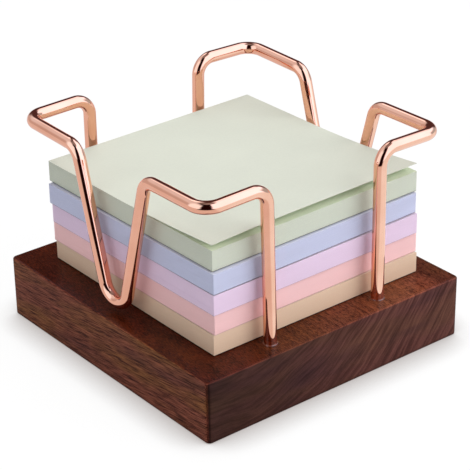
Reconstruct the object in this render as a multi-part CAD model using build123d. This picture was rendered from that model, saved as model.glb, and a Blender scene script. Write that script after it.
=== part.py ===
from build123d import *
import math
import os

# Sticky note holder. A hardwood block carries two bent wires that cage a stack of five note pads.
# Millimetres. The origin is the middle of the block's underside, +Z up, and -Y is the front.

# Note pads
note_size = 76.0
pad_height = 6.5
backing_thickness = 0.35
top_note_thickness = 0.3
top_note_lift = 2.4
top_note_flat_share = 0.42

# Bent wire
wire_diameter = 3.8
note_clearance = 2.0
leg_half_spacing = 20.0
tall_leg_lean = 1.0
v_half_width = 16.2
low_loop_height = 46.1
tall_loop_height = 47.4
arm_fall = 0.4
v_bottom_height = 3.2
loop_bend_radius = 5.0
v_bend_radius = 5.7
leg_set_radius = 20.0

# Wood block
block_height = 19.3
side_margin = 5.1
end_margin = 6.2
corner_radius = 1.5
edge_radius = 0.6
leg_hole_depth = 12.0
leg_hole_clearance = 0.05

# Least gap between a pad and the wires, at rest and on the pad's way up past the loops
pad_edge_gap = 0.4

# Colour of each pad from the bottom, its turn in degrees, and how far it has slid across its
# free play towards +X and +Y, where 1 is as far as it goes and a minus sign is the other way
PADS = [
    ("tan", 0.1, 0.9, 0.05),
    ("pink", 0.8, 0.95, 0.3),
    ("lilac", 0.7, 0.35, -0.45),
    ("blue", 1.3, -0.2, -0.35),
    ("green", 0.9, 0.75, 0.6),
]

wire_radius = wire_diameter / 2
cage_half = note_size / 2 + note_clearance + wire_radius
block_width = 2 * (cage_half + side_margin)
block_depth = 2 * (cage_half + end_margin)


def leg_places():
    return [(sx * leg_half_spacing, sy * cage_half) for sx in (-1, 1) for sy in (-1, 1)]


def base_block():
    # Rounded slab with a blind hole for each of the four legs
    slab = Box(block_width, block_depth, block_height, align=(Align.CENTER, Align.CENTER, Align.MIN))
    slab = fillet(slab.edges().filter_by(Axis.Z), corner_radius)
    rims = slab.edges().group_by(Axis.Z)[0] + slab.edges().group_by(Axis.Z)[-1]
    slab = fillet(rims, edge_radius)
    hole_floor = block_height - leg_hole_depth
    hole = Cylinder(
        wire_radius + leg_hole_clearance,
        leg_hole_depth,
        align=(Align.CENTER, Align.CENTER, Align.MIN),
    )
    for x, y in leg_places():
        slab -= Pos(x, y, hole_floor) * hole
    return slab


def v_apex_height():
    # Height over the block where the V's two straight sides would meet, from its rounded bottom
    arm_height = (low_loop_height + tall_loop_height) / 2 - arm_fall
    bend_centre = v_bottom_height + v_bend_radius
    rise = arm_height - bend_centre
    reach = math.hypot(v_half_width, rise)
    lean = math.atan2(v_half_width, rise) - math.asin(v_bend_radius / reach)
    return arm_height - v_half_width / math.tan(lean)


def left_wire():
    # From the rear leg, round the low rear loop, down and up the V, and round the tall front loop
    # to the front leg, which leans a little. Each loop falls gently from its leg to the V.
    foot = block_height - leg_hole_depth
    low = block_height + low_loop_height
    tall = block_height + tall_loop_height
    points = [
        (-leg_half_spacing, cage_half, foot),
        (-leg_half_spacing, cage_half, low + arm_fall),
        (-cage_half, cage_half, low),
        (-cage_half, v_half_width, low - arm_fall),
        (-cage_half, 0, block_height + v_apex_height()),
        (-cage_half, -v_half_width, tall - arm_fall),
        (-cage_half, -cage_half, tall),
        (-leg_half_spacing - tall_leg_lean, -cage_half, tall + arm_fall),
        (-leg_half_spacing, -cage_half, block_height),
        (-leg_half_spacing, -cage_half, foot),
    ]
    radii = [loop_bend_radius] * 3 + [v_bend_radius] + [loop_bend_radius] * 3 + [leg_set_radius]
    path = FilletPolyline(*points, radius=radii)
    section = Plane(path @ 0, z_dir=path % 0) * Circle(wire_radius)
    wire = sweep(section, path=path)
    print(f"wire length {path.length:.1f} volume ratio {wire.volume / (section.area * path.length):.4f}")
    return wire


def pad_place(turn, slide_x, slide_y):
    # The pad slides along Y and then along X. Its corners stay inside the loops' round bends, so
    # that it can be lifted straight out. The cage looks the same after a half turn, so a slide
    # towards -X has the play of one towards +X with the slide along Y reversed.
    angle = math.radians(turn)
    near = note_size / 2 * (math.cos(angle) - math.sin(angle))
    far = note_size / 2 * (math.cos(angle) + math.sin(angle))
    bend_centre = cage_half - loop_bend_radius
    bend_room = loop_bend_radius - wire_radius - pad_edge_gap
    shift_y = slide_y * (bend_centre + bend_room - far)
    lean_y = shift_y if slide_x > 0 else -shift_y
    plays = []
    for corner_x, corner_y in ((near, far + lean_y), (far, near - lean_y)):
        into_bend = max(0, corner_y - bend_centre)
        plays.append(bend_centre + math.sqrt(bend_room**2 - into_bend**2) - corner_x)
    return Pos(slide_x * min(plays), shift_y, 0) * Rot(0, 0, turn)


def slab_of_paper(thickness, height):
    sheet = Box(note_size, note_size, thickness, align=(Align.CENTER, Align.CENTER, Align.MIN))
    return Pos(0, 0, height) * sheet


def lifted_note(height):
    # Flat where it is glued at the rear, then one gentle arc up to the free front edge
    rear = note_size / 2
    flat_end = rear - note_size * top_note_flat_share
    run = flat_end + note_size / 2
    inner = (run**2 + top_note_lift**2) / (2 * top_note_lift)
    outer = inner - top_note_thickness
    slope = math.asin(run / inner)
    centre = (flat_end, height + inner)

    def on_arc(radius, angle):
        return (centre[0] - radius * math.sin(angle), centre[1] - radius * math.cos(angle))

    lower_end = on_arc(inner, slope)
    upper_end = on_arc(outer, slope)
    outline = [
        Line((rear, height), (flat_end, height)),
        ThreePointArc((flat_end, height), on_arc(inner, slope / 2), lower_end),
        Line(lower_end, upper_end),
        ThreePointArc(upper_end, on_arc(outer, slope / 2), (flat_end, height + top_note_thickness)),
        Line((flat_end, height + top_note_thickness), (rear, height + top_note_thickness)),
        Line((rear, height + top_note_thickness), (rear, height)),
    ]
    profile = Plane.YZ * make_face(outline)
    return extrude(profile, note_size / 2, dir=(1, 0, 0), both=True)


os.makedirs("parts", exist_ok=True)
wire = left_wire()
nodes = {
    "base_block": base_block(),
    "wire_left": wire,
    "wire_right": Rot(0, 0, 180) * wire,
}
for level, (colour, turn, slide_x, slide_y) in enumerate(PADS):
    bottom = block_height + level * pad_height
    place = pad_place(turn, slide_x, slide_y)
    nodes[f"backing_{colour}"] = place * slab_of_paper(backing_thickness, bottom)
    sheets = slab_of_paper(pad_height - backing_thickness, bottom + backing_thickness)
    nodes[f"notes_{colour}"] = place * sheets
nodes["top_note"] = place * lifted_note(block_height + len(PADS) * pad_height)

for name, solid in nodes.items():
    solid.label = name
    export_step(solid, f"parts/{name}.step")
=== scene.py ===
import math
import bmesh
import bpy
from mathutils import Color, Matrix, Vector


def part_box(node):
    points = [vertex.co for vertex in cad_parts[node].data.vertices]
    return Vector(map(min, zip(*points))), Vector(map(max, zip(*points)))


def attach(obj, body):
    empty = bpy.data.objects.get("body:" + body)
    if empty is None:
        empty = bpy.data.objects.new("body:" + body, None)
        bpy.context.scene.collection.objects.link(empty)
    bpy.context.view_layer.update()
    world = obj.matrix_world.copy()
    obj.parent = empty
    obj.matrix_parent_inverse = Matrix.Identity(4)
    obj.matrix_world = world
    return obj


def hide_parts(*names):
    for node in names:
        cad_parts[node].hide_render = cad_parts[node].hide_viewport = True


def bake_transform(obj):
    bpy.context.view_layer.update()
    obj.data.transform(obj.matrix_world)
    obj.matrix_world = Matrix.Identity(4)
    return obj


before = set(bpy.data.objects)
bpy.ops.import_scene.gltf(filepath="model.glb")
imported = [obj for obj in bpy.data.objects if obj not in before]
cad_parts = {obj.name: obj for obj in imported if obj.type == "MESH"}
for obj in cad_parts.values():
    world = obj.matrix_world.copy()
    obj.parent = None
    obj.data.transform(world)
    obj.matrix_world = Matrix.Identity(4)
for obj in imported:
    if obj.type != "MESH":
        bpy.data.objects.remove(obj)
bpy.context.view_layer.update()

# Walnut block
# A slab of dark walnut with its grain running front to back, so that its end grain shows at the
# front and rear. It is planed, its edges are eased, and it is sprayed with a clear satin lacquer.
mm = 0.001
white = (1, 1, 1, 1)


def feed(tree, node, feeds):
    # Sets a node's inputs by name or number, to values or to the sockets that feed them
    for name, value in feeds.items():
        if isinstance(value, bpy.types.NodeSocket):
            tree.links.new(value, node.inputs[name])
        else:
            node.inputs[name].default_value = value


def add(tree, kind, feeds=None, **settings):
    node = tree.nodes.new(kind)
    for name, value in settings.items():
        setattr(node, name, value)
    feed(tree, node, feeds or {})
    return node


def calc(tree, operation, *terms):
    return add(tree, "ShaderNodeMath", dict(enumerate(terms)), operation=operation).outputs[0]


def vector_calc(tree, operation, *terms, result="Vector"):
    made = add(tree, "ShaderNodeVectorMath", dict(enumerate(terms)), operation=operation)
    return made.outputs[result]


def split(tree, vector):
    return add(tree, "ShaderNodeSeparateXYZ", {0: vector}).outputs


def spread(tree, level, low, high, out_low=0, out_high=1, smooth=False):
    # A level from low to high, taken to another range and held at its ends
    feeds = {"Value": level, "From Min": low, "From Max": high, "To Min": out_low, "To Max": out_high}
    kind = "SMOOTHSTEP" if smooth else "LINEAR"
    return add(tree, "ShaderNodeMapRange", feeds, interpolation_type=kind).outputs[0]


def blend_colours(tree, share, first, second, kind="MIX"):
    # Inputs 6 and 7 of this node and its output 2 are the ones for colours
    feeds = {0: share, 6: first, 7: second}
    return add(tree, "ShaderNodeMix", feeds, data_type="RGBA", blend_type=kind).outputs[2]


def tinted(tree, colour, shade):
    return blend_colours(tree, 1.0, colour, shade, "MULTIPLY")


def tint(code):
    # A colour from the six hex digits that a paint chart gives
    shares = [int(code[place : place + 2], 16) / 255 for place in (0, 2, 4)]
    return [*Color(shares).from_srgb_to_scene_linear(), 1]


def new_effect(name, inputs, outputs):
    # An empty shader node group with its named inputs and outputs, for what several materials use
    tree = bpy.data.node_groups.new(name, "ShaderNodeTree")
    for in_out, sockets in (("INPUT", inputs), ("OUTPUT", outputs)):
        for socket, kind in sockets.items():
            tree.interface.new_socket(name=socket, in_out=in_out, socket_type=f"NodeSocket{kind}")
    return tree, add(tree, "NodeGroupInput").outputs


def sized_noise_group():
    # Noise whose cells have the size given in metres along X, Y and Z
    inputs = {"Place": "Vector", "Cell": "Vector", "Detail": "Float", "Roughness": "Float"}
    tree, given = new_effect("sized_noise", inputs, {"Level": "Float"})
    feeds = {
        "Vector": vector_calc(tree, "DIVIDE", given["Place"], given["Cell"]),
        "Scale": 1,
        "Detail": given["Detail"],
        "Roughness": given["Roughness"],
    }
    level = add(tree, "ShaderNodeTexNoise", feeds).outputs[0]
    add(tree, "NodeGroupOutput", {"Level": level})
    return tree


sized_noise = sized_noise_group()


def noise(tree, place, cell, detail, roughness=0.5):
    feeds = {"Place": place, "Cell": cell, "Detail": detail, "Roughness": roughness}
    return add(tree, "ShaderNodeGroup", feeds, node_tree=sized_noise).outputs["Level"]


def new_material(name):
    material = bpy.data.materials.new(name)
    material.use_nodes = True
    tree = material.node_tree
    tree.nodes.clear()
    shader = add(tree, "ShaderNodeBsdfPrincipled")
    add(tree, "ShaderNodeOutputMaterial", {"Surface": shader.outputs[0]})
    return material, tree, shader


pith_place = (-40 * mm, 62 * mm)
ring_width = 1.7 * mm
ring_detail = 3
ring_wander = 5 * mm
ring_wander_size = (22 * mm, 60 * mm, 22 * mm)
streak_size = (0.8 * mm, 14 * mm, 9 * mm)
streak_arc = 60 * mm


def growth_rings(tree, place):
    # Rings round the pith, which runs along Y above the left of the block, and streaks that follow
    # them on the end grain and run along Y on the other faces
    x, y, z = split(tree, place)
    across = calc(tree, "SUBTRACT", x, pith_place[0])
    below = calc(tree, "SUBTRACT", z, pith_place[1])
    squares = calc(tree, "ADD", calc(tree, "POWER", across, 2), calc(tree, "POWER", below, 2))
    wander = calc(tree, "MULTIPLY", noise(tree, place, ring_wander_size, detail=2), ring_wander)
    radius = calc(tree, "ADD", calc(tree, "SQRT", squares), wander)
    feeds = {"W": calc(tree, "DIVIDE", radius, ring_width), "Scale": 1, "Detail": ring_detail}
    rings = add(tree, "ShaderNodeTexNoise", feeds, noise_dimensions="1D").outputs[0]
    arc = calc(tree, "MULTIPLY", calc(tree, "ARCTAN2", below, across), streak_arc)
    polar = add(tree, "ShaderNodeCombineXYZ", {0: radius, 1: y, 2: arc}).outputs[0]
    return rings, noise(tree, polar, streak_size, detail=3, roughness=0.6)


ring_weight = 0.10
# On the sides and top, and on the end grain
streak_weights = (0.22, 0.55)
grain_levels = (0.41, 0.59)
grain_tints = ((0.20, 0.10, 0.06, 1), (1.80, 1.92, 1.97, 1))
# From left to right, and how much of its contrast the end grain loses there
end_grain_reach = (-25 * mm, 25 * mm)
end_grain_loss = (0.62, 0.40)


def grained(tree, colour, place, fibres, end_face):
    # The grain's light and dark, which is weaker on the end grain and most of all at its left
    rings, streaks = growth_rings(tree, place)
    streak_share = spread(tree, end_face, 0, 1, *streak_weights)
    fibre_share = calc(tree, "SUBTRACT", 1 - ring_weight, streak_share)
    fibre_part = calc(tree, "MULTIPLY", fibres, fibre_share)
    streak_part = calc(tree, "MULTIPLY", streaks, streak_share)
    ring_part = calc(tree, "MULTIPLY", rings, ring_weight)
    level = calc(tree, "ADD", calc(tree, "ADD", fibre_part, streak_part), ring_part)
    grain = blend_colours(tree, spread(tree, level, *grain_levels), *grain_tints)
    loss = spread(tree, split(tree, place)[0], *end_grain_reach, *end_grain_loss)
    strength = calc(tree, "SUBTRACT", 1, calc(tree, "MULTIPLY", end_face, loss))
    return blend_colours(tree, strength, colour, tinted(tree, colour, grain))


walnut_red = "6E3B2C"
walnut_gold = "6E4226"
walnut_plum = "4E2823"
patch_size = (30 * mm, 45 * mm, 7 * mm)
gold_levels = (0.42, 0.62)
# On the sides and top, and on the end grain
gold_strengths = (1, 0.4)
plum_levels = (0.5, 0.72)
plum_strength = 0.8
plum_offset = (0.3, 0.2, 0.1)


def heartwood(tree, place, end_face):
    # Slow patches of red, golden and plum coloured wood
    gold_strength = spread(tree, end_face, 0, 1, *gold_strengths)
    gold = spread(tree, noise(tree, place, patch_size, detail=2), *gold_levels, 0, gold_strength)
    elsewhere = vector_calc(tree, "ADD", place, plum_offset)
    plum = spread(tree, noise(tree, elsewhere, patch_size, detail=2), *plum_levels, 0, plum_strength)
    colour = blend_colours(tree, gold, tint(walnut_red), tint(walnut_gold))
    return blend_colours(tree, plum, colour, tint(walnut_plum))


end_tints = ((0.28, 0.38, 0.50, 1), (0.59, 0.70, 0.95, 1))
end_tint_reach = (-42 * mm, 12 * mm)
# A painted sheen across the top from left to right, and where it fades near the right edge
top_sheen_tints = ((0.47, 0.25, 0.17, 1), (1.22, 1.08, 0.94, 1))
top_sheen_reach = (-28 * mm, 30 * mm)
far_right_sheen_fade = (0.62, 0.56, 0.56, 1)
far_right_sheen_reach = (34 * mm, 43 * mm)


def face_tint_and_sheen(tree, x, end_face, top_face):
    # The end grain is darker towards the left, and the top is redder than the sides. Across the top
    #     # runs a painted sheen: darker at the left, lighter towards the right, darker again near the
    #     right edge
    end_tint = blend_colours(tree, spread(tree, x, *end_tint_reach), *end_tints)
    top_sheen = blend_colours(tree, spread(tree, x, *top_sheen_reach), *top_sheen_tints)
    far_right = spread(tree, x, *far_right_sheen_reach, smooth=True)
    top_sheen = blend_colours(tree, far_right, top_sheen, far_right_sheen_fade)
    side_tint = blend_colours(tree, end_face, white, end_tint)
    return blend_colours(tree, top_face, side_tint, top_sheen)


# A painted highlight on the top edges, and painted shade on the corners and bottom edges
edge_facing = (0.96, 0.85)
upper_edge_facing = (0.1, 0.4)
edge_shade_and_highlight_tints = ((0.45, 0.36, 0.34, 1), (1.35, 1.25, 1.2, 1))


def edge_highlight_and_shade(tree, colour, facing, sideways, endways):
    # Painted light on the eased edges: a painted highlight along the top edges, and painted shade
    # down
    #     # the corners and on the bottom edges
    upright = calc(tree, "ABSOLUTE", facing[2])
    squarest = calc(tree, "MAXIMUM", calc(tree, "MAXIMUM", sideways, endways), upright)
    edge_light = blend_colours(tree, spread(tree, facing[2], *upper_edge_facing), *edge_shade_and_highlight_tints)
    edge = spread(tree, squarest, *edge_facing)
    return blend_colours(tree, edge, colour, tinted(tree, colour, edge_light))


end_facing = (0.6, 0.8)
top_facing = (0.5, 0.9)
fibre_tilt = math.radians(7)
fibre_size = (0.15 * mm, 5.0 * mm, 0.15 * mm)
fibre_height = 0.4
pore_size = (0.14 * mm, 2.6 * mm, 0.14 * mm)
pore_levels = (0.58, 0.7)
# The pores' colour, which is also the colour of the painted shade along the bottom of the block
pore_and_foot_shade_colour = "2A130D"
pore_strength = 0.28
pore_roughness = 0.12
# The painted shade along the bottom of the block: how high it reaches and how strong it is
foot_shade_height = 1.3 * mm
foot_shade_strength = 0.6
side_roughness = 0.5
top_roughness = 0.34
top_coat = 0.16
grain_bump = 0.35
grain_depth = 0.05 * mm


def walnut():
    material, tree, shader = new_material("walnut")
    coordinates = add(tree, "ShaderNodeTexCoord").outputs
    place = coordinates["Object"]
    facing = split(tree, coordinates["Normal"])
    sideways, endways = (calc(tree, "ABSOLUTE", facing[axis]) for axis in (0, 1))
    end_face = spread(tree, endways, *end_facing)
    top_face = spread(tree, facing[2], *top_facing)
    # The fibres and pores run from rear to front and climb a little on the way
    feeds = {"Vector": place, "Angle": fibre_tilt}
    along = add(tree, "ShaderNodeVectorRotate", feeds, rotation_type="X_AXIS").outputs[0]
    fibres = noise(tree, along, fibre_size, detail=2, roughness=0.6)
    pores = spread(tree, noise(tree, along, pore_size, detail=1), *pore_levels)
    side_pores = calc(tree, "MULTIPLY", pores, calc(tree, "SUBTRACT", 1, end_face))
    pore_share = calc(tree, "MULTIPLY", side_pores, pore_strength)
    x, _, z = split(tree, place)
    # Painted shade: the wood is darkened towards its bottom edge
    foot_shade_share = calc(tree, "MULTIPLY", spread(tree, z, 0, foot_shade_height, 1, 0), foot_shade_strength)
    colour = grained(tree, heartwood(tree, along, end_face), place, fibres, end_face)
    colour = blend_colours(tree, pore_share, colour, tint(pore_and_foot_shade_colour))
    colour = tinted(tree, colour, face_tint_and_sheen(tree, x, end_face, top_face))
    colour = edge_highlight_and_shade(tree, colour, facing, sideways, endways)
    # The painted shade towards the bottom edge
    colour = blend_colours(tree, foot_shade_share, colour, tint(pore_and_foot_shade_colour))
    gloss = spread(tree, top_face, 0, 1, side_roughness, top_roughness)
    height = calc(tree, "SUBTRACT", calc(tree, "MULTIPLY", fibres, fibre_height), side_pores)
    feeds = {"Strength": grain_bump, "Distance": grain_depth, "Height": height}
    bump = add(tree, "ShaderNodeBump", feeds)
    feeds = {
        "Base Color": colour,
        "Roughness": calc(tree, "ADD", gloss, calc(tree, "MULTIPLY", pores, pore_roughness)),
        "Specular IOR Level": 0.05,
        "Coat Weight": calc(tree, "MULTIPLY", top_face, top_coat),
        "Coat Roughness": 0.16,
        "Normal": bump.outputs[0],
    }
    feed(tree, shader, feeds)
    return material


def dress(node, material):
    node.data.materials.clear()
    node.data.materials.append(material)


dress(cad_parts["base_block"], walnut())

# Bent wires
# Two steel rods, each bent cold into two corner loops and a V between them, then polished and
# plated rose gold. Each stands on two legs that are glued into blind holes in the block.
rose_gold_pale = "FAB99C"
rose_gold_deep = "F4B092"
rose_gold_cloud = 9 * mm
haze_size = (1.5 * mm, 1.5 * mm, 4 * mm)
rod_roughness = (0.04, 0.08)
# Nearly all of a noise lies between these levels
noise_levels = (0.3, 0.7)
# One tint gives way to the other between these
cloud_levels = (0.35, 0.65)


def clouded_tint_group():
    # Two tints that drift into each other in soft clouds of the size given in metres
    inputs = {"First": "Color", "Second": "Color", "Cell": "Vector"}
    tree, given = new_effect("clouded_tint", inputs, {"Colour": "Color", "Share": "Float"})
    place = add(tree, "ShaderNodeTexCoord").outputs["Object"]
    share = spread(tree, noise(tree, place, given["Cell"], detail=3), *cloud_levels)
    colour = blend_colours(tree, share, given["First"], given["Second"])
    add(tree, "NodeGroupOutput", {"Colour": colour, "Share": share})
    return tree


clouded_tint = clouded_tint_group()


def clouds(tree, first, second, size):
    feeds = {"First": tint(first), "Second": tint(second), "Cell": (size, size, size)}
    return add(tree, "ShaderNodeGroup", feeds, node_tree=clouded_tint).outputs


def rose_gold():
    material, tree, shader = new_material("rose_gold")
    place = add(tree, "ShaderNodeTexCoord").outputs["Object"]
    haze = noise(tree, place, haze_size, detail=4)
    feeds = {
        "Base Color": clouds(tree, rose_gold_pale, rose_gold_deep, rose_gold_cloud)["Colour"],
        "Metallic": 1,
        "Roughness": spread(tree, haze, *noise_levels, *rod_roughness),
    }
    feed(tree, shader, feeds)
    return material


rod_diameter = 3.8 * mm
low_loop = 46.1 * mm
tall_loop = 47.4 * mm
arm_fall = 0.4 * mm
tall_leg_lean = 1.0 * mm
v_half_width = 16.2 * mm
v_bottom = 3.2 * mm
loop_bend = 5.0 * mm
v_bend = 5.7 * mm
leg_set_bend = 20.0 * mm
bend_steps = 40
rod_sides = 48

# The left rod's box, the block's top, and how far out the rod's V and its legs stand
rod_low, rod_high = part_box("wire_left")
block_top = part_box("base_block")[1].z
v_out = -rod_low.x - rod_diameter / 2
leg_out = rod_diameter / 2 - rod_high.x
leg_rear = rod_high.y - rod_diameter / 2


def rod_line():
    # The left rod's straight runs as a line of edges, with each corner's bend kept on its point.
    # It runs from the rear leg round the low loop, down and up the V, and round the tall loop.
    low_top = block_top + low_loop
    tall_top = block_top + tall_loop
    arm = (low_top + tall_top) / 2 - arm_fall
    rise = arm - (block_top + v_bottom + v_bend)
    lean = math.atan2(v_half_width, rise) - math.asin(v_bend / math.hypot(v_half_width, rise))
    apex = arm - v_half_width / math.tan(lean)
    corners = [
        ((-leg_out, leg_rear, rod_low.z), 0),
        ((-leg_out, leg_rear, low_top + arm_fall), loop_bend),
        ((-v_out, leg_rear, low_top), loop_bend),
        ((-v_out, v_half_width, low_top - arm_fall), loop_bend),
        ((-v_out, 0, apex), v_bend),
        ((-v_out, -v_half_width, tall_top - arm_fall), loop_bend),
        ((-v_out, -leg_rear, tall_top), loop_bend),
        ((-leg_out - tall_leg_lean, -leg_rear, tall_top + arm_fall), loop_bend),
        ((-leg_out, -leg_rear, block_top), leg_set_bend),
        ((-leg_out, -leg_rear, rod_low.z), 0),
    ]
    edges = [(place, place + 1) for place in range(len(corners) - 1)]
    mesh = bpy.data.meshes.new("rod_line")
    mesh.from_pydata([place for place, _ in corners], edges, [])
    bends = mesh.attributes.new("bend_radius", "FLOAT", "POINT")
    bends.data.foreach_set("value", [bend for _, bend in corners])
    return mesh


def new_tree(name, sockets):
    tree = bpy.data.node_groups.new(name, "GeometryNodeTree")
    for socket, kind in sockets.items():
        tree.interface.new_socket(name=socket, in_out="INPUT", socket_type=f"NodeSocket{kind}")
    tree.interface.new_socket(name="Geometry", in_out="OUTPUT", socket_type="NodeSocketGeometry")
    return tree, add(tree, "NodeGroupInput").outputs


def turn_about_z(tree, angle):
    euler = add(tree, "ShaderNodeCombineXYZ", {"Z": angle}).outputs[0]
    return add(tree, "FunctionNodeEulerToRotation", {0: euler}).outputs[0]


def end_tree(tree, geometry, place, angle, material):
    # Turns the geometry about Z, moves it to its place and gives it its material
    feeds = {"Geometry": geometry, "Translation": place, "Rotation": turn_about_z(tree, angle)}
    placed = add(tree, "GeometryNodeTransform", feeds).outputs[0]
    real = add(tree, "GeometryNodeRealizeInstances", {0: placed}).outputs[0]
    finished = add(tree, "GeometryNodeSetMaterial", {"Geometry": real, "Material": material})
    add(tree, "NodeGroupOutput", {0: finished.outputs[0]})


def bent_rod_tree():
    # Rounds the line's corners to their bends and sweeps the rod's section along it
    sockets = {
        "Line": "Geometry",
        "Diameter": "Float",
        "Bend Steps": "Int",
        "Sides": "Int",
        "Half Turn": "Float",
        "Finish": "Material",
    }
    tree, given = new_tree("bent_rod", sockets)
    line = add(tree, "GeometryNodeMeshToCurve", {"Mesh": given["Line"]}).outputs[0]
    feeds = {"Name": "bend_radius"}
    bend = add(tree, "GeometryNodeInputNamedAttribute", feeds, data_type="FLOAT").outputs[0]
    feeds = {"Curve": line, "Count": given["Bend Steps"], "Radius": bend}
    bent = add(tree, "GeometryNodeFilletCurve", feeds, mode="POLY").outputs[0]
    feeds = {"Resolution": given["Sides"], "Radius": calc(tree, "MULTIPLY", given["Diameter"], 0.5)}
    section = add(tree, "GeometryNodeCurvePrimitiveCircle", feeds).outputs[0]
    feeds = {"Curve": bent, "Profile Curve": section, "Fill Caps": True}
    rod = add(tree, "GeometryNodeCurveToMesh", feeds).outputs[0]
    smooth = add(tree, "GeometryNodeSetShadeSmooth", {0: rod}).outputs[0]
    end_tree(tree, smooth, (0, 0, 0), given["Half Turn"], given["Finish"])
    return tree


def grow(name, tree, values, start=None):
    # Runs a Geometry Nodes tree with its named inputs set, and keeps the result as a plain mesh
    piece = bpy.data.objects.new(name, start or bpy.data.meshes.new(name))
    bpy.context.scene.collection.objects.link(piece)
    builder = piece.modifiers.new("builder", "NODES")
    builder.node_group = tree
    for socket in tree.interface.items_tree:
        if socket.in_out == "INPUT" and socket.name in values:
            builder[socket.identifier] = values[socket.name]
    bpy.context.view_layer.update()
    evaluated = piece.evaluated_get(bpy.context.evaluated_depsgraph_get())
    mesh = bpy.data.meshes.new_from_object(evaluated)
    piece.modifiers.remove(builder)
    piece.data = mesh
    form = bmesh.new()
    form.from_mesh(mesh)
    bmesh.ops.recalc_face_normals(form, faces=form.faces[:])
    form.to_mesh(mesh)
    form.free()
    return piece


rod_finish = rose_gold()
rod_tree = bent_rod_tree()
for side, half_turn in (("left", 0.0), ("right", math.pi)):
    values = {
        "Diameter": rod_diameter,
        "Bend Steps": bend_steps,
        "Sides": rod_sides,
        "Half Turn": half_turn,
        "Finish": rod_finish,
    }
    rod = grow(f"bent_wire_{side}", rod_tree, values, rod_line())
    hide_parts(f"wire_{side}")
    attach(rod, "holder")

# Foot rings
# The block's lacquer has crept up a little round each foot of the two wires, and has dried there
# as a fine bead.
lacquer_thick = "5A2A1C"
lacquer_thin = "7A4030"
lacquer_roughness = (0.08, 0.16)
ring_radius = 2.02 * mm
ring_bead = 0.2 * mm
ring_steps = 48
bead_steps = 12


def lacquer():
    material, tree, shader = new_material("lacquer")
    haze = clouds(tree, lacquer_thick, lacquer_thin, mm)
    roughness = spread(tree, haze["Share"], 0, 1, *lacquer_roughness)
    feed(tree, shader, {"Base Color": haze["Colour"], "Roughness": roughness, "Coat Weight": 1})
    return material


def add_foot_ring(form, x, y):
    loops = []
    for step in range(ring_steps):
        turn = 2 * math.pi * step / ring_steps
        loop = []
        for bead in range(bead_steps):
            swing = 2 * math.pi * bead / bead_steps
            reach = ring_radius + ring_bead * math.cos(swing)
            place = (x + reach * math.cos(turn), y + reach * math.sin(turn))
            loop.append(form.verts.new((*place, block_top + ring_bead * math.sin(swing))))
        loops.append(loop)
    for step in range(ring_steps):
        first, second = loops[step - 1], loops[step]
        for bead in range(bead_steps):
            form.faces.new((first[bead - 1], second[bead - 1], second[bead], first[bead]))


def keep(form, name, place):
    # The finished form as an object, with its place in its mesh
    bmesh.ops.transform(form, matrix=place, verts=form.verts[:])
    mesh = bpy.data.meshes.new(name)
    form.to_mesh(mesh)
    form.free()
    piece = bpy.data.objects.new(name, mesh)
    bpy.context.scene.collection.objects.link(piece)
    return piece


def foot_rings():
    form = bmesh.new()
    for x, y in ((-1, -1), (1, -1), (1, 1), (-1, 1)):
        add_foot_ring(form, x * leg_out, y * leg_rear)
    bmesh.ops.recalc_face_normals(form, faces=form.faces[:])
    for face in form.faces:
        face.smooth = True
    return keep(form, "foot_rings", Matrix())


beads = foot_rings()
dress(beads, lacquer())
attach(beads, "holder")

# Note pads
# Five pads of sticky notes, one on the other, each a stack of thin sheets of its own pastel paper
# that are glued along the rear edge and cut square together. Each has a thin card under it.
note_side = 76 * mm
sheet_count = 60
sheet_fill = 0.97
sheet_slip = 0.015 * mm
sheet_turn = math.radians(0.012)
card_lip = 0.1 * mm
# From the bottom up, each pad's paper on its cut edges, a lighter colour on its upper face that is
# # painted light, its card's colour, which under all but the pink pad is dark painted shade, how far
# # the card's lip is set back, and how much further the card is set back below the lip
pad_papers = {
    "tan": ("EECEB3", "F2E0CA", "0A0605", 0, 0.15 * mm),
    "pink": ("FFD0D0", "FFDADC", "E2B8B6", 0, 0.2 * mm),
    "lilac": ("EAD1E8", "F2DFF2", "8E7891", 0.05 * mm, 0.4 * mm),
    "blue": ("C9CCE5", "DFE1F6", "4A4C62", 0.05 * mm, 0.5 * mm),
    "green": ("D0D4C5", "E6F0D4", "45493E", 0.05 * mm, 0.6 * mm),
}
pulp_fibre_size = (0.7 * mm, 0.7 * mm, 0.12 * mm)
pulp_fibre_weight = 0.6
pulp_cloud_size = (14 * mm, 14 * mm, 2.5 * mm)
pulp_shades = (0.93, 1.0)
lit_face_facing = (0.4, 0.8)
paper_roughness = (0.72, 0.9)
paper_bump = 0.15
paper_depth = 0.02 * mm


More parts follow.
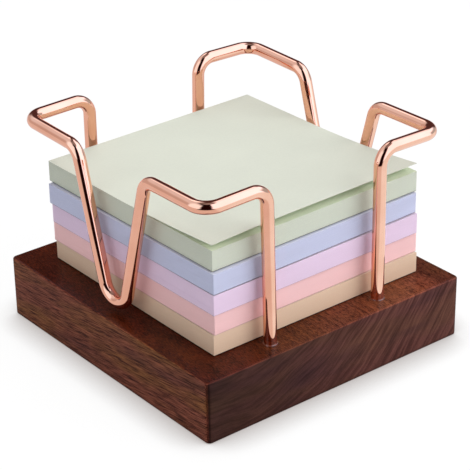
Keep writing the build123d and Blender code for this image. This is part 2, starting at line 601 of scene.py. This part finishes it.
def paper_pulp_group():
    # Long fibres and slow clouds in the pulp, with one colour on cut edges and a lighter one on the
    #     # upper face, which is painted light
    outputs = {"Colour": "Color", "Roughness": "Float", "Fibre": "Float"}
    tree, given = new_effect("paper_pulp", {"Edge": "Color", "Lit Face": "Color"}, outputs)
    coordinates = add(tree, "ShaderNodeTexCoord").outputs
    fibre = noise(tree, coordinates["Object"], pulp_fibre_size, detail=4, roughness=0.7)
    cloud = noise(tree, coordinates["Object"], pulp_cloud_size, detail=2)
    fibre_part = calc(tree, "MULTIPLY", fibre, pulp_fibre_weight)
    cloud_part = calc(tree, "MULTIPLY", cloud, 1 - pulp_fibre_weight)
    pulp = calc(tree, "ADD", fibre_part, cloud_part)
    shade = spread(tree, pulp, *noise_levels, *pulp_shades)
    grey = add(tree, "ShaderNodeCombineXYZ", {0: shade, 1: shade, 2: shade}).outputs[0]
    # Painted light: faces that look up take the lighter face colour
    up = split(tree, coordinates["Normal"])[2]
    base = blend_colours(tree, spread(tree, up, *lit_face_facing), given["Edge"], given["Lit Face"])
    feeds = {
        "Colour": tinted(tree, base, grey),
        "Roughness": spread(tree, fibre, *noise_levels, *paper_roughness),
        "Fibre": fibre,
    }
    add(tree, "NodeGroupOutput", feeds)
    return tree


paper_pulp = paper_pulp_group()


def paper(name, edge_code, lit_face_code):
    material, tree, shader = new_material(name)
    feeds = {"Edge": tint(edge_code), "Lit Face": tint(lit_face_code)}
    pulp = add(tree, "ShaderNodeGroup", feeds, node_tree=paper_pulp).outputs
    feeds = {"Strength": paper_bump, "Distance": paper_depth, "Height": pulp["Fibre"]}
    bump = add(tree, "ShaderNodeBump", feeds)
    feeds = {
        "Base Color": pulp["Colour"],
        "Roughness": pulp["Roughness"],
        "Specular IOR Level": 0.3,
        "Normal": bump.outputs[0],
    }
    feed(tree, shader, feeds)
    return material


def sheet_stack_tree():
    # Thin square slabs one over the other, each slipped and turned by a hair. In the two random
    # nodes, inputs 0 and 1 are a vector's lowest and highest, and input 2 is a number's lowest.
    sockets = {
        "Side": "Float",
        "Thickness": "Float",
        "Pitch": "Float",
        "Count": "Int",
        "Slip": "Float",
        "Turn Slip": "Float",
        "Seed": "Int",
        "Place": "Vector",
        "Turn": "Float",
        "Paper": "Material",
    }
    tree, given = new_tree("sheet_stack", sockets)
    step = add(tree, "ShaderNodeCombineXYZ", {"Z": given["Pitch"]}).outputs[0]
    feeds = {"Count": given["Count"], "Offset": step}
    line = add(tree, "GeometryNodeMeshLine", feeds, mode="OFFSET").outputs[0]
    feeds = {"X": given["Side"], "Y": given["Side"], "Z": given["Thickness"]}
    size = add(tree, "ShaderNodeCombineXYZ", feeds).outputs[0]
    slab = add(tree, "GeometryNodeMeshCube", {"Size": size}).outputs[0]
    feeds = {0: (-1, -1, 0), 1: (1, 1, 0), "Seed": given["Seed"]}
    wander = add(tree, "FunctionNodeRandomValue", feeds, data_type="FLOAT_VECTOR").outputs[0]
    feeds = {0: wander, "Scale": given["Slip"]}
    slip = add(tree, "ShaderNodeVectorMath", feeds, operation="SCALE").outputs[0]
    slipped = add(tree, "GeometryNodeSetPosition", {"Geometry": line, "Offset": slip}).outputs[0]
    feeds = {2: -1, "Seed": given["Seed"]}
    swing = add(tree, "FunctionNodeRandomValue", feeds, data_type="FLOAT").outputs[1]
    angle = calc(tree, "MULTIPLY", swing, given["Turn Slip"])
    feeds = {"Points": slipped, "Instance": slab, "Rotation": turn_about_z(tree, angle)}
    stacked = add(tree, "GeometryNodeInstanceOnPoints", feeds).outputs[0]
    end_tree(tree, stacked, given["Place"], given["Turn"], given["Paper"])
    return tree


def pad_turn(node):
    # A square's box is wider than its side by the cosine and sine of its turn
    low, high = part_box(node)
    ratio = (high.x - low.x) / note_side
    return math.asin(min(1, ratio**2 - 1)) / 2


def close_rings(form, rings):
    # Joins rings of points, each over the last, into one closed skin
    for under, over in zip(rings, rings[1:]):
        for place in range(len(under)):
            after = (place + 1) % len(under)
            form.faces.new((under[place], under[after], over[after], over[place]))
    form.faces.new(rings[0])
    form.faces.new(rings[-1])
    bmesh.ops.recalc_face_normals(form, faces=form.faces[:])


def card(colour, turn, lip_inset, undercut):
    # Set back below its lip, so that there is a thin dark joint under the pad. The card's colour,
    #     # dark under all but the pink pad, is painted shade in that joint
    low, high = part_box(f"backing_{colour}")
    thickness = high.z - low.z
    lip = note_side / 2 - lip_inset
    foot = lip - undercut
    step = thickness - card_lip
    form = bmesh.new()
    rings = []
    for level, reach in ((0, foot), (step, foot), (step, lip), (thickness, lip)):
        corners = ((-reach, -reach), (reach, -reach), (reach, reach), (-reach, reach))
        rings.append([form.verts.new((x, y, level)) for x, y in corners])
    close_rings(form, rings)
    middle = (low + high) / 2
    place = Matrix.Translation((middle.x, middle.y, low.z)) @ Matrix.Rotation(turn, 4, "Z")
    return keep(form, f"card_{colour}", place)


def note_pad(colour, seed, edge_code, lit_face_code, card_and_shade_code, lip_inset, undercut):
    low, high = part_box(f"notes_{colour}")
    middle = (low + high) / 2
    pitch = (high.z - low.z) / sheet_count
    turn = pad_turn(f"notes_{colour}")
    values = {
        "Side": note_side - 2 * sheet_slip,
        "Thickness": pitch * sheet_fill,
        "Pitch": pitch,
        "Count": sheet_count,
        "Slip": sheet_slip,
        "Turn Slip": sheet_turn,
        "Seed": seed,
        "Place": (middle.x, middle.y, low.z + pitch / 2),
        "Turn": turn,
        "Paper": paper(f"paper_{colour}", edge_code, lit_face_code),
    }
    sheets = grow(f"sheets_{colour}", stack_tree, values)
    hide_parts(f"notes_{colour}")
    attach(sheets, f"pad_{colour}")
    under = card(colour, turn, lip_inset, undercut)
    # The card's dark colour is painted shade under the pad
    dress(under, paper(f"card_{colour}", card_and_shade_code, card_and_shade_code))
    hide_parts(f"backing_{colour}")
    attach(under, f"pad_{colour}")


stack_tree = sheet_stack_tree()
for seed, (colour, finish) in enumerate(pad_papers.items()):
    note_pad(colour, seed, *finish)

# Top note
# The first sheet of the green pad has come loose except along its glued rear strip, and its free
# front edge stands up a little in one even curve.
top_note_code = "E1E4D6"
top_sheet_thickness = 0.12 * mm
top_sheet_gap = 0.02 * mm
solid_thickness = 0.3 * mm
flat_share = 0.42
corner_sag = 0.3
rows = 60
columns = 24
note_rear = note_side / 2


def sheet_face(form, level, flat_end, bend):
    # Flat from the rear, then in one arc up to the free front edge, with the left corner lower
    grid = []
    for row in range(rows + 1):
        y = note_rear - note_side * row / rows
        past = max(0, flat_end - y)
        rise = bend - math.sqrt(bend**2 - past**2)
        line = []
        for column in range(columns + 1):
            x = note_side * (column / columns - 0.5)
            sag = corner_sag * max(0, -x / note_rear) ** 2
            line.append(form.verts.new((x, y, rise * (1 - sag) + level)))
        grid.append(line)
    return grid


def join_lines(form, first, second):
    for place in range(len(first) - 1):
        form.faces.new((first[place], second[place], second[place + 1], first[place + 1]))


def top_sheet(form, lift):
    # The lower and upper faces, joined round their rims into one closed skin
    flat_end = note_rear - note_side * flat_share
    run = flat_end + note_rear
    bend = (run**2 + lift**2) / (2 * lift)
    under = sheet_face(form, 0, flat_end, bend)
    over = sheet_face(form, top_sheet_thickness, flat_end, bend)
    for grid in (under, over):
        for first, second in zip(grid, grid[1:]):
            join_lines(form, first, second)
    for end in (0, -1):
        join_lines(form, under[end], over[end])
        join_lines(form, [line[end] for line in under], [line[end] for line in over])
    bmesh.ops.recalc_face_normals(form, faces=form.faces[:])


def top_note():
    low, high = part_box("top_note")
    middle = (low + high) / 2
    form = bmesh.new()
    top_sheet(form, high.z - low.z - solid_thickness)
    turn = Matrix.Rotation(pad_turn("notes_green"), 4, "Z")
    place = Matrix.Translation((middle.x, middle.y, low.z + top_sheet_gap)) @ turn
    sheet = keep(form, "top_note_sheet", place)
    dress(sheet, paper("top_paper", top_note_code, top_note_code))
    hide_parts("top_note")
    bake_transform(sheet)


top_note()

# Studio
# A plain white floor under soft lamps. What the polished rods mirror is a dark room with bright
# panels round it, and the white floor.
camera_place = Vector((-300.6, -380.7, 276.5)) * mm
camera_turns = (-38.415, 26.959, -0.847)
camera_lens = 141.11
camera_sensor = 36
camera_near = 0.01


def studio_camera():
    # Turned about Z, tipped down and rolled, each in degrees
    turn, down, roll = (math.radians(angle) for angle in camera_turns)
    data = bpy.data.cameras.new("camera")
    data.lens = camera_lens
    data.sensor_width = camera_sensor
    data.clip_start = camera_near
    camera = bpy.data.objects.new("camera", data)
    aim = Matrix.Rotation(turn, 4, "Z") @ Matrix.Rotation(math.pi / 2 - down, 4, "X")
    camera.matrix_world = Matrix.Translation(camera_place) @ aim @ Matrix.Rotation(roll, 4, "Z")
    bpy.context.scene.collection.objects.link(camera)
    bpy.context.scene.camera = camera


ambient_strength = 0.30
dark_room = (0.012, 0.002, 0.001, 1)
panel_soft = 8
# Each panel's azimuth and half width, its lowest and highest elevation, and its brightness.
# Azimuth 0 is in front, and 90 is at the right. The last one is the ceiling, with no upper edge.
panels = [
    (140, 45, -40, 78, (0.08, 0.04, 0.04, 1)),
    (-160, 30, -40, 34, (0.60, 0.59, 0.62, 1)),
    (-148, 52, 26, 68, (0.80, 0.93, 1.08, 1)),
    (-101, 29, -40, 56, (1.16, 1.51, 1.82, 1)),
    (20, 38, -40, 76, (1.54, 1.93, 2.50, 1)),
    (80, 24, -40, 24, (0.48, 0.64, 0.74, 1)),
    (80, 28, 24, 76, (1.54, 1.93, 2.50, 1)),
    (110, 18, 42, 70, (1.45, 1.72, 2.15, 1)),
    (163, 8, 41, 54, (1.83, 2.10, 2.50, 1)),
    (0, 180, 76, 110, (0.31, 0.33, 0.36, 1)),
]


def sector(tree, direction, azimuth, half, soft=panel_soft):
    # 1 within half of an azimuth, seen from above, and 0 outside it
    a = math.radians(azimuth)
    level = vector_calc(tree, "MULTIPLY", direction, (1, 1, 0))
    compass = vector_calc(tree, "NORMALIZE", level)
    middle = (math.sin(a), -math.cos(a), 0)
    toward = vector_calc(tree, "DOT_PRODUCT", compass, middle, result="Value")
    inner = math.cos(math.radians(max(0, half - soft)))
    outer = math.cos(math.radians(min(180, half + soft)))
    return spread(tree, toward, outer, inner, smooth=True)


def soft_edge(elevation):
    # The heights between which a panel fades in or out, on a globe of radius 1
    edges = (elevation - panel_soft, elevation + panel_soft)
    return [math.sin(math.radians(max(-90, min(90, edge)))) for edge in edges]


def ray_kinds(tree):
    # What the camera sees straight, and what it sees in a mirror or through glass
    rays = add(tree, "ShaderNodeLightPath").outputs
    mirrored = calc(tree, "MAXIMUM", rays["Is Glossy Ray"], rays["Is Transmission Ray"])
    return rays["Is Camera Ray"], mirrored


def surroundings():
    # White where the camera sees it straight, the room and its panels in mirrors, and otherwise an
    # even pale light
    world = bpy.data.worlds.new("studio")
    bpy.context.scene.world = world
    world.use_nodes = True
    tree = world.node_tree
    tree.nodes.clear()
    direction = add(tree, "ShaderNodeTexCoord").outputs["Generated"]
    height = split(tree, direction)[2]
    room = dark_room
    for azimuth, half, low, high, colour in panels:
        share = sector(tree, direction, azimuth, half)
        share = calc(tree, "MULTIPLY", share, spread(tree, height, *soft_edge(low), smooth=True))
        if high < 90:
            fade = spread(tree, height, *soft_edge(high), 1, 0, smooth=True)
            share = calc(tree, "MULTIPLY", share, fade)
        room = blend_colours(tree, share, room, colour)
    straight, mirrored = ray_kinds(tree)
    shown = blend_colours(tree, straight, room, white)
    ambient = add(tree, "ShaderNodeBackground", {"Color": white, "Strength": ambient_strength})
    backdrop = add(tree, "ShaderNodeBackground", {"Color": shown, "Strength": 1})
    seen = calc(tree, "MAXIMUM", straight, mirrored)
    feeds = {0: seen, 1: ambient.outputs[0], 2: backdrop.outputs[0]}
    mix = add(tree, "ShaderNodeMixShader", feeds).outputs[0]
    add(tree, "ShaderNodeOutputWorld", {"Surface": mix})


floor_half = 3.0
floor_white = "F9F9F9"
floor_pale = "F7F7F7"
floor_cloud = 0.2
floor_roughness = 0.3
floor_glow = 1.04
floor_glow_share = 0.88
contact_reach = 15 * mm
contact_levels = (0.44, 0.89)
contact_shade = (0.50, 0.46, 0.445, 1)
front_floor_sector = (35, 45, 10)
front_floor = (0.96, 1.18, 1.31, 1)
rear_floor = (0.79, 0.81, 0.85, 1)
dark_floor_sector = (-46, 30)
dark_floor_distance = (0.24, 0.36)


def mirrored_floor(tree, place):
    # Brighter in front than behind, and fading into the dark room further off at the left front
    front = sector(tree, place, *front_floor_sector)
    distance = vector_calc(tree, "LENGTH", place, result="Value")
    far = spread(tree, distance, *dark_floor_distance, smooth=True)
    dark = calc(tree, "MULTIPLY", sector(tree, place, *dark_floor_sector), far)
    return blend_colours(tree, dark, blend_colours(tree, front, rear_floor, front_floor), dark_room)


def floor_finish():
    material, tree, shader = new_material("floor")
    colour = clouds(tree, floor_white, floor_pale, floor_cloud)["Colour"]
    feed(tree, shader, {"Base Color": colour, "Roughness": floor_roughness})
    near = add(tree, "ShaderNodeAmbientOcclusion", {"Distance": contact_reach}).outputs["AO"]
    shade = blend_colours(tree, spread(tree, near, *contact_levels), contact_shade, white)
    # Seen straight the floor is nearly white, and mirrors show it with its own brightness
    straight, mirrored = ray_kinds(tree)
    glow = add(tree, "ShaderNodeEmission", {"Color": shade, "Strength": floor_glow}).outputs[0]
    glow_share = calc(tree, "MULTIPLY", straight, floor_glow_share)
    feeds = {0: glow_share, 1: shader.outputs[0], 2: glow}
    seen = add(tree, "ShaderNodeMixShader", feeds).outputs[0]
    place = add(tree, "ShaderNodeTexCoord").outputs["Object"]
    reflection = tinted(tree, mirrored_floor(tree, place), shade)
    reflected = add(tree, "ShaderNodeEmission", {"Color": reflection, "Strength": 1}).outputs[0]
    mix = add(tree, "ShaderNodeMixShader", {0: mirrored, 1: seen, 2: reflected}).outputs[0]
    feed(tree, tree.get_output_node("ALL"), {"Surface": mix})
    return material


def floor():
    near, far = -floor_half, floor_half
    corners = [(near, near, 0), (far, near, 0), (far, far, 0), (near, far, 0)]
    mesh = bpy.data.meshes.new("floor")
    mesh.from_pydata(corners, [], [(0, 1, 2, 3)])
    plane = bpy.data.objects.new("floor", mesh)
    bpy.context.scene.collection.objects.link(plane)
    dress(plane, floor_finish())


# Each lamp's azimuth and elevation, its width, height and distance, and its power
softboxes = {
    "key": (30, 30, 1.2, 0.9, 1.2, 9.0),
    "overhead": (0, 88, 1.0, 1.0, 1.1, 3.5),
    "side": (-85, 35, 0.9, 0.8, 1.2, 2.25),
    "rear": (130, 45, 0.9, 0.8, 1.2, 3.5),
}


def softbox(name, azimuth, elevation, width, height, distance, power):
    # A rectangular lamp that faces the object and doesn't show in mirrors
    data = bpy.data.lights.new(name, "AREA")
    data.shape = "RECTANGLE"
    data.size = width
    data.size_y = height
    data.energy = power
    lamp = bpy.data.objects.new(name, data)
    lamp.visible_glossy = False
    a = math.radians(azimuth)
    e = math.radians(elevation)
    away = Vector((math.sin(a) * math.cos(e), -math.cos(a) * math.cos(e), math.sin(e)))
    aim = away.to_track_quat("Z", "Y").to_matrix().to_4x4()
    lamp.matrix_world = Matrix.Translation(away * distance) @ aim
    bpy.context.scene.collection.objects.link(lamp)


studio_camera()
surroundings()
floor()
for name, measures in softboxes.items():
    softbox(name, *measures)
bpy.context.scene.view_settings.view_transform = "Standard"
